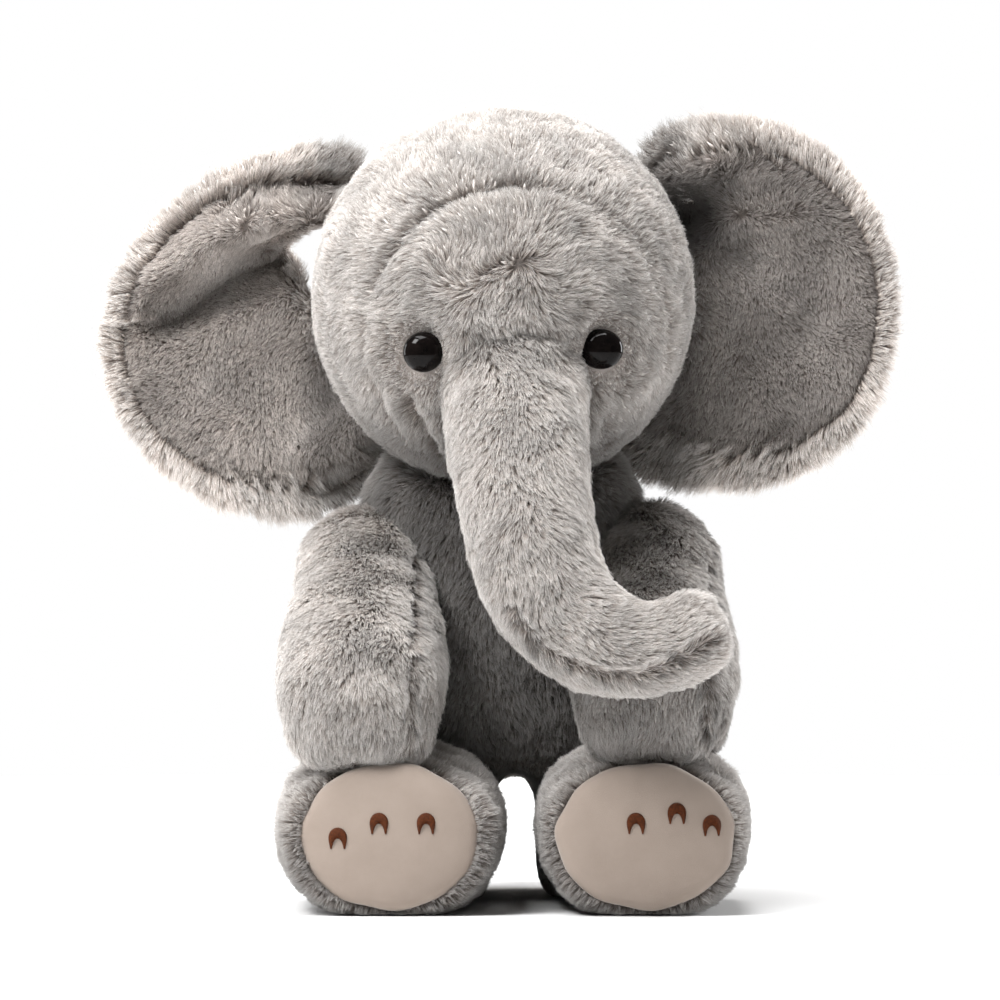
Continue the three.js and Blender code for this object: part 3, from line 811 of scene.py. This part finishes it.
INFLATION = [  # form, the most that a point moves (mm), seam, pressure
    ("head", 1.5, head_seam, 3.0),
    ("trunk", 1.5, trunk_seam, 3.0),
    ("torso", 0.8, back_seam, 4.0),
    ("arm_left", 2.5, arm_seam("left"), 4.0),
    ("arm_right", 2.0, arm_seam("right"), 4.0),
    ("leg_left", 0.5, None, 2.0),
    ("leg_right", 0.5, None, 2.0),
]
inflate([(forms[name], cap, seam, pressure) for name, cap, seam, pressure in INFLATION])
for name, *_ in INFLATION:
    subdivide(forms[name])
push(forms["head"], dents)
for side in SIDES:
    rolled(forms["leg_" + side])
    squared(forms["arm_" + side], side)
for o in forms.values():
    lifted(o)
LONG_SEAMS = {"trunk": trunk_seam, "arm_left": arm_seam("left"), "arm_right": arm_seam("right")}
for name, seam in LONG_SEAMS.items():
    push(forms[name], lambda q, n, seam=seam: 0.3 * bump(seam(q), 4))


# ---------------------------------------------------------------- which pile grows where, and how pale, with painted shade and light
def uncovered(name):
    """Keeps an ear back's pile off the area that the named lining covers."""
    co = points_of(forms[name].data)
    tree = KDTree(len(co))
    for i, x in enumerate(co):
        tree.insert(x, i)
    tree.balance()

    def keep(q, n):
        stay = np.ones(len(q))
        for i in np.flatnonzero(n[:, 1] < 0.35):
            if tree.find(P(q[i]))[2] < 1.7 * MM:
                stay[i] = 0
        return stay
    return keep


def off_pad(q, n):
    """Keeps a leg's pile off its sole pad."""
    front = (n[:, 1] < 0.2) & (q[:, 1] < -80)
    return np.where(front & (pad_gap(q) < 0.9), 0.0, 1.0)


def off_eyes(q, n):
    """Keeps the head's pile off the eyes."""
    return ramp(eye_gap(q), 7.0, 8.2)


def front_only(q, n):
    """Keeps a lining's pile on its front."""
    return (n[:, 1] < 0.2) * 1.0


def painted_light_shade_and_seam_flecks(name, q):
    """How pale a cover's pile is, by place, with painted shade and painted light. Shade is painted on the
    belly, on the right arm, low on the head and legs, in the ears' folds and next to the head; light is
    painted on the ears' backs and the left lining."""
    shade = np.ones(len(q))
    if name == "torso":
        # painted shade: the belly is darker than the back, for the shadow under the head and arms
        back = ramp(q[:, 1], -25, 30)
        shade = 0.47 + 0.45 * back
    elif name == "head":
        # painted shade: the cheeks and chin are darker, for the shade under the face
        low_front = ramp(-q[:, 2], -190, -154) * ramp(-q[:, 1], 0, 30)
        shade = 1.04 * (1 - 0.45 * low_front)
    elif name.startswith("leg"):
        # painted shade: the legs' pile is darker towards the floor
        high = ramp(q[:, 2], 10, 44)
        shade = 0.58 + 0.32 * high
    elif name == "arm_right":
        # painted shade: the whole right arm is darker, for its side away from the key light
        shade = np.full(len(q), 0.82)
    elif name == "lining_right":
        # painted shade: the lining is nearly black in the pocket next to the head
        shade = 1.02 * (1 - 0.97 * bump(from_spot(q, (POCKET[0] - 1, POCKET[1])), 24))
    elif name == "lining_left":
        # painted light and shade: the left lining is paler overall, for its lit side, and darker in the
        # fold's valley
        valley, _ = to_line(q[:, [0, 2]], LEFT_VALLEY)
        shade = 1.26 * (1 - 0.4 * bump(valley, 10))
    elif name.startswith("ear"):
        # painted light: the ears' backs are paler, for their lit rims
        shade = np.full(len(q), 1.3)
    if name.startswith(("ear", "lining")):
        # painted shade: ears and linings are darker next to the head, for its contact shadow
        off_head = ramp(np.abs(q[:, 0]), 62, 78)
        shade = shade * (0.6 + 0.4 * off_head)
    if name in LONG_SEAMS:
        flecks = ramp(waves(q, 4.5, 90), 0.0, 0.9)
        shade = shade * (1 - 0.55 * bump(LONG_SEAMS[name](q), 4.5) * flecks)
    return shade


COVERS = [  # form, body, style, where pile may grow, CAD nodes
    ("head", "head", head_style, off_eyes, ["head_skin", "face_panel"]),
    ("trunk", "trunk", trunk_style, None, ["trunk_skin"]),
    ("torso", "torso", torso_style, None, ["torso_skin"]),
    ("tail", "tail", tail_style, None, ["tail"]),
]
COVERS += [(f"arm_{side}", f"arm_{side}", arm_style(side), None, [f"arm_{side}_skin"]) for side in SIDES]
COVERS += [(f"leg_{side}", f"leg_{side}", leg_style(side), off_pad, [f"leg_{side}_skin"]) for side in SIDES]
COVERS += [(f"ear_{side}", f"ear_{side}", ear_style(side), uncovered("lining_" + side), [f"ear_{side}_back"])
           for side in SIDES]
COVERS += [(f"lining_{side}", f"ear_{side}", ear_style(side, True), front_only, [f"ear_{side}_lining"])
           for side in SIDES]
# tufts per mm2 and their width; hairs per mm2, how far they clump, and their radius in millimetres
PILE = {"slot": "pile", "tufts": (0.26, TUFT, 0.95), "hair": (5.5, HAIR, 0.42, 0.09)}
LINING = {"slot": "ear_lining", "tufts": (0.42, TUFT_LINING, 0.75), "hair": (8.25, HAIR_LINING, 0.3, 0.08)}

for i, (name, body, style, keep, nodes) in enumerate(COVERS):
    cover = forms[name]
    fabric = LINING if name.startswith("lining") else PILE
    finish_piece(cover, body, fabric["slot"], *nodes)
    locks = tufts(name + "_pile", cover, style, *fabric["tufts"], keep, 10 * i, name)
    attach(locks, body)
    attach(hair(name + "_hair", cover, style, *fabric["hair"], keep, 10 * i, name), body)


# ---------------------------------------------------------------- soles, nails, eyes and the inside
def ends_of(node_name):
    """A CAD node's low and high corners, in millimetres from the toy's own origin."""
    return (local(np.array(corner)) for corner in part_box(node_name))


def sole(name, node_name):
    """A sole's suede: a shallow dome on the tilted pad, drawn in a little where its stitches pull."""
    around, rings, thick = 96, 22, 1.1
    low, high = ends_of(node_name)
    turn = np.linspace(0, 2 * math.pi, around, endpoint=False)
    wide, tall = (high[0] - low[0]) / 2, (high[2] - low[2]) / 2 / math.cos(SOLE_TILT)
    pull = 1 - 0.012 * np.cos(7 * turn + 0.4) - 0.008 * np.cos(11 * turn + 1.1)
    profile = [(r, PAD_BULGE * math.sqrt(max(1 - r * r, 0)) * ramp(1 - r, -0.08, 0.05) + thick)
               for r in np.linspace(0, 1, rings)[1:]]
    profile += [(1.006, thick * 0.5), (0.99, 0.05), (0.6, 0.0)]
    verts = [(0, -PAD_BULGE - thick, 0)]
    for r, out in profile:
        edge = 1 + (pull - 1) * ramp(r, 0.6, 1.0)
        x, z = wide * r * edge * np.cos(turn), tall * r * edge * np.sin(turn)
        verts += list(zip(x, np.full(around, -out), z))
    verts.append((0, 0, 0))
    v = np.array(verts)
    c, k = math.cos(SOLE_TILT), math.sin(SOLE_TILT)
    v = np.stack([v[:, 0], v[:, 1] * c + v[:, 2] * k, v[:, 2] * c - v[:, 1] * k], 1)
    v += (low + high) / 2 - (v.min(0) + v.max(0)) / 2
    return lathe_mesh(name, P(v), around, SUEDE)


def arch(t):
    """A toenail's centre line and half width in millimetres: an upside-down U that ends in points."""
    round_off = np.sin(np.pi * t)
    x = -2.3 * np.cos(np.pi * t)
    z = -4.1 + 5.9 * round_off**0.5
    return x, z, 0.2 + 1.75 * round_off**0.75


def nail(name, node_name, pad):
    """A satin-stitched toenail that lies on the sole pad."""
    around, along, sunk, in_front = 10, 48, 0.1, -200
    centre = middle(node_name)
    t = np.linspace(0.004, 0.996, along)
    x, z, half = arch(t)
    ahead = unit(np.stack([np.gradient(x), np.gradient(z)], 1))
    across = np.stack([-ahead[:, 1], ahead[:, 0]], 1)
    faces = [tuple(p.vertices) for p in pad.data.polygons]
    tree = BVHTree.FromPolygons([tuple(v) for v in points_of(pad.data)], faces)
    verts = []
    for k in range(along):
        stitch = 1 + 0.05 * math.cos(math.pi * k)
        for a in np.linspace(0, 2 * math.pi, around, endpoint=False):
            off = half[k] * stitch * math.cos(a)
            px, pz = centre[0] + x[k] + across[k, 0] * off, centre[2] + z[k] + across[k, 1] * off
            p = P(px, in_front, pz)
            hit = tree.ray_cast(Vector(p), Vector((0, 1, 0)))[0]
            base = hit.y if hit else P(*centre)[1]
            height = 0.95 * math.sin(a) * stitch * min(1, half[k])
            verts.append((p[0], base - (sunk + height) * MM, p[2]))
    verts = np.array(verts)
    ends = verts[:around].mean(0), verts[-around:].mean(0)
    return lathe_mesh(name, np.vstack([ends[:1], verts, ends[1:]]), around, THREAD)


def eye_dome(name, node_name):
    """A smooth glossy eye with a round back and its shank, over the CAD eye."""
    oversize, depth, around = 1.03, 5.2, 48
    low, high = ends_of(node_name)
    centre = (low + high) / 2
    rx, rz = (high[0] - low[0]) / 2 * oversize, (high[2] - low[2]) / 2 * oversize
    seat = low[1] + depth
    profile = [(0.0, low[1])]
    dome = np.linspace(0.08, math.pi / 2, 18)
    profile += [(math.sin(a), seat - (seat - low[1]) * math.cos(a)) for a in dome]
    profile += [(0.97, seat + 0.7), (0.85, seat + 1.2), (0.42, seat + 1.4), (0.34, seat + 2.2)]
    profile += [(0.32, high[1] - 0.6), (0.26, high[1] - 0.1), (0.0, high[1])]
    turn = np.linspace(0, 2 * math.pi, around, endpoint=False)
    verts = [P(centre[0], profile[0][1], centre[2])]
    for share, y in profile[1:-1]:
        x, z = rx * share, rz * share
        verts += [P(centre[0] + x * math.cos(a), y, centre[2] + z * math.sin(a)) for a in turn]
    verts.append(P(centre[0], profile[-1][1], centre[2]))
    return lathe_mesh(name, np.array(verts), around, EYE)


for side in SIDES:
    pad = sole(f"sole_{side}", f"sole_pad_{side}")
    finish_piece(pad, "leg_" + side, "sole", f"sole_pad_{side}")
    for letter in "abc":
        n = f"toenail_{side}_{letter}"
        finish_piece(nail(f"nail_{side}_{letter}", n, pad), "leg_" + side, "thread", n)
    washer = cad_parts[f"eye_washer_{side}"]
    washer.data.materials.clear()
    washer.data.materials.append(NYLON)
    finish_piece(eye_dome(f"eye_{side}_gloss", f"eye_{side}"), "head", "eye", f"eye_{side}")

STUFFED = ["head", "trunk", "torso", "neck"] + [f"{limb}_{side}" for limb in ("arm", "leg") for side in SIDES]
for body in STUFFED:
    n = body + "_stuffing"
    wad = form_of(n.replace("stuffing", "fibre"), [n], FIBRE_FILL, 4.0, 2)
    push(wad, lambda q, m: 0.9 + 0.8 * waves(q, 14, 31))
    finish_piece(wad, body, "stuffing", n)


def neck_style(q, n):
    return np.tile([0.0, 0.0, -1.0], (len(q), 1)), 36, 72, np.full(len(q), 4.0)


def off_ends(q, n):
    """Keeps the neck's pile off its top and bottom."""
    return (np.abs(n[:, 2]) < 0.8) * 1.0


neck_cover = form_of("neck_cover", ["neck_stuffing"], BACKING, 3.0)
push(neck_cover, lambda q, m: np.full(len(q), -0.4))
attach(neck_cover, "neck")
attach(hair("neck_hair", neck_cover, neck_style, 2.0, HAIR, 0.4, 0.09, off_ends, 200, "neck"), "neck")
pouch = form_of("pouch_bag", ["pellet_pouch"], COTTON, 2.5, 1)
push(pouch, lambda q, m: 0.5 + 0.35 * waves(q, 5, 32))
finish_piece(pouch, "torso", "pouch", "pellet_pouch")

# ---------------------------------------------------------------- floor, light and camera
FLOOR_RADIUS, FLOOR_Z, FLOOR_SIDES = 0.9, -0.0004, 96
floor_mesh = bpy.data.meshes.new("floor")
turn = np.linspace(0, 2 * math.pi, FLOOR_SIDES, endpoint=False)
ring = [(FLOOR_RADIUS * math.cos(a), FLOOR_RADIUS * math.sin(a), FLOOR_Z) for a in turn]
floor_mesh.from_pydata(ring, [], [tuple(range(FLOOR_SIDES))])
floor_mat, _, _, floor_shader = material("floor_paint", rough=0.9, specular=0.1)
floor_shader.inputs["Base Color"].default_value = (0.86, 0.86, 0.86, 1)
floor = new_object("floor", floor_mesh, floor_mat)

AMBIENT = 0.12  # the world's light; the camera sees it as plain white
world = bpy.data.worlds.new("studio")
world.use_nodes = True
scene.world = world
wn, wl = world.node_tree.nodes, world.node_tree.links
wn["Background"].inputs[0].default_value = (1, 1, 1, 1)
seen = wn.new("ShaderNodeLightPath")
lit = wn.new("ShaderNodeMapRange")
lit.inputs["To Min"].default_value = AMBIENT
lit.inputs["To Max"].default_value = 1.0
wl.new(seen.outputs["Is Camera Ray"], lit.inputs["Value"])
wl.new(lit.outputs[0], wn["Background"].inputs[1])

TARGET = P(0, -30, 142)


def area(name, where, size, watts):
    """A square lamp that points at the toy and isn't seen itself."""
    lamp = bpy.data.lights.new(name, "AREA")
    lamp.shape = "SQUARE"
    lamp.size = size
    lamp.energy = watts
    o = bpy.data.objects.new(name, lamp)
    scene.collection.objects.link(o)
    o.location = where
    o.rotation_euler = (Vector(TARGET) - Vector(where)).to_track_quat("-Z", "Y").to_euler()
    o.visible_camera = False


area("key_light", (-0.9, -0.65, 1.4), 0.6, 33.0)
area("top_light", (-0.1, -0.05, 1.3), 0.8, 24.0)
area("rim_left", (-1.1, 0.7, 0.35), 0.7, 10.0)
area("rim_right", (1.1, 0.7, 0.35), 0.7, 20.0)

DISTANCE, RISE = 3.0, math.radians(1.0)
SENSOR, FRAME_WIDTH = 36, 0.35  # millimetres, and the metres that the picture spans at the toy
AIM = P(-1.0, -40, 140.8)
camera = bpy.data.cameras.new("camera")
camera.lens = SENSOR * DISTANCE / FRAME_WIDTH
camera.sensor_width = SENSOR
cam = bpy.data.objects.new("camera", camera)
scene.collection.objects.link(cam)
cam.location = AIM + DISTANCE * np.array([0, -math.cos(RISE), math.sin(RISE)])
cam.rotation_euler = (math.pi / 2 - RISE, 0, 0)
scene.camera = cam
scene.view_settings.view_transform = "Standard"
